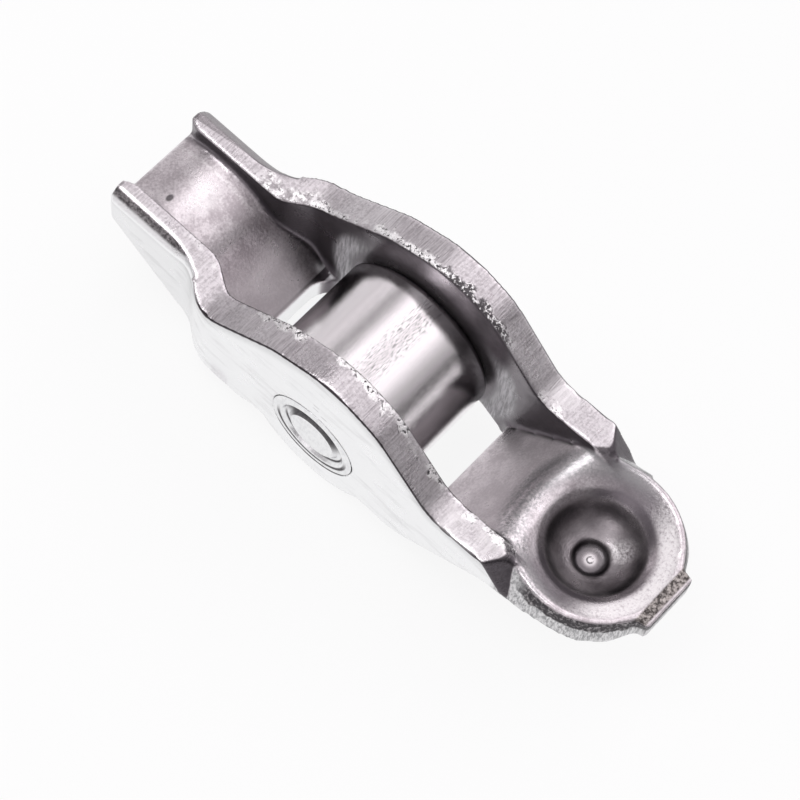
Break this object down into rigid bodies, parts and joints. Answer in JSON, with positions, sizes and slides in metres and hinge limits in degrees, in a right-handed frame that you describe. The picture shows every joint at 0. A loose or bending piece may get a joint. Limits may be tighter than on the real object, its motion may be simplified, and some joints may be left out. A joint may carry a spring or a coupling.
{
  "type": "rocker arm",
  "caption": "Stamped sheet-steel roller finger follower: valve pad between guide walls, needle-borne cam roller on a staked axle, and a ball socket at the pivot end.",
  "frame": {"origin": "middle of the roller's axle", "axes": "+X from the valve end to the pivot end, +Y along the axle, +Z towards the arm's open side with the valve pad and the ball socket"},
  "size_m": [0.0672, 0.0196, 0.023],
  "materials": {
    "arm": "bare stamped and tumbled steel with sheared edges",
    "axle": "ground steel, ring-staked ends",
    "roller": "ground and polished bearing steel",
    "needle": "ground bearing steel"
  },
  "bodies": {
    "arm_body": {"arm": "arm", "axle": "axle"},
    "roller_body": {"roller": "roller"},
    "needle_set": {"needle_1": "needle", "needle_2": "needle", "needle_3": "needle", "needle_4": "needle", "needle_5": "needle", "needle_6": "needle", "needle_7": "needle", "needle_8": "needle", "needle_9": "needle", "needle_10": "needle", "needle_11": "needle", "needle_12": "needle", "needle_13": "needle", "needle_14": "needle", "needle_15": "needle", "needle_16": "needle", "needle_17": "needle", "needle_18": "needle", "needle_19": "needle", "needle_20": "needle", "needle_21": "needle"}
  },
  "joints": [
    {"name": "roller_spin", "type": "hinge", "parent": "arm_body", "child": "roller_body", "pos_m": [0, 0, 0], "axis": [0, 1, 0], "continuous": true},
    {"name": "needle_orbit", "type": "hinge", "parent": "arm_body", "child": "needle_set", "pos_m": [0, 0, 0], "axis": [0, 1, 0], "continuous": true}
  ],
  "couplings": [
    {"joint": "needle_orbit", "follows": "roller_spin", "ratio": 0.573}
  ]
}
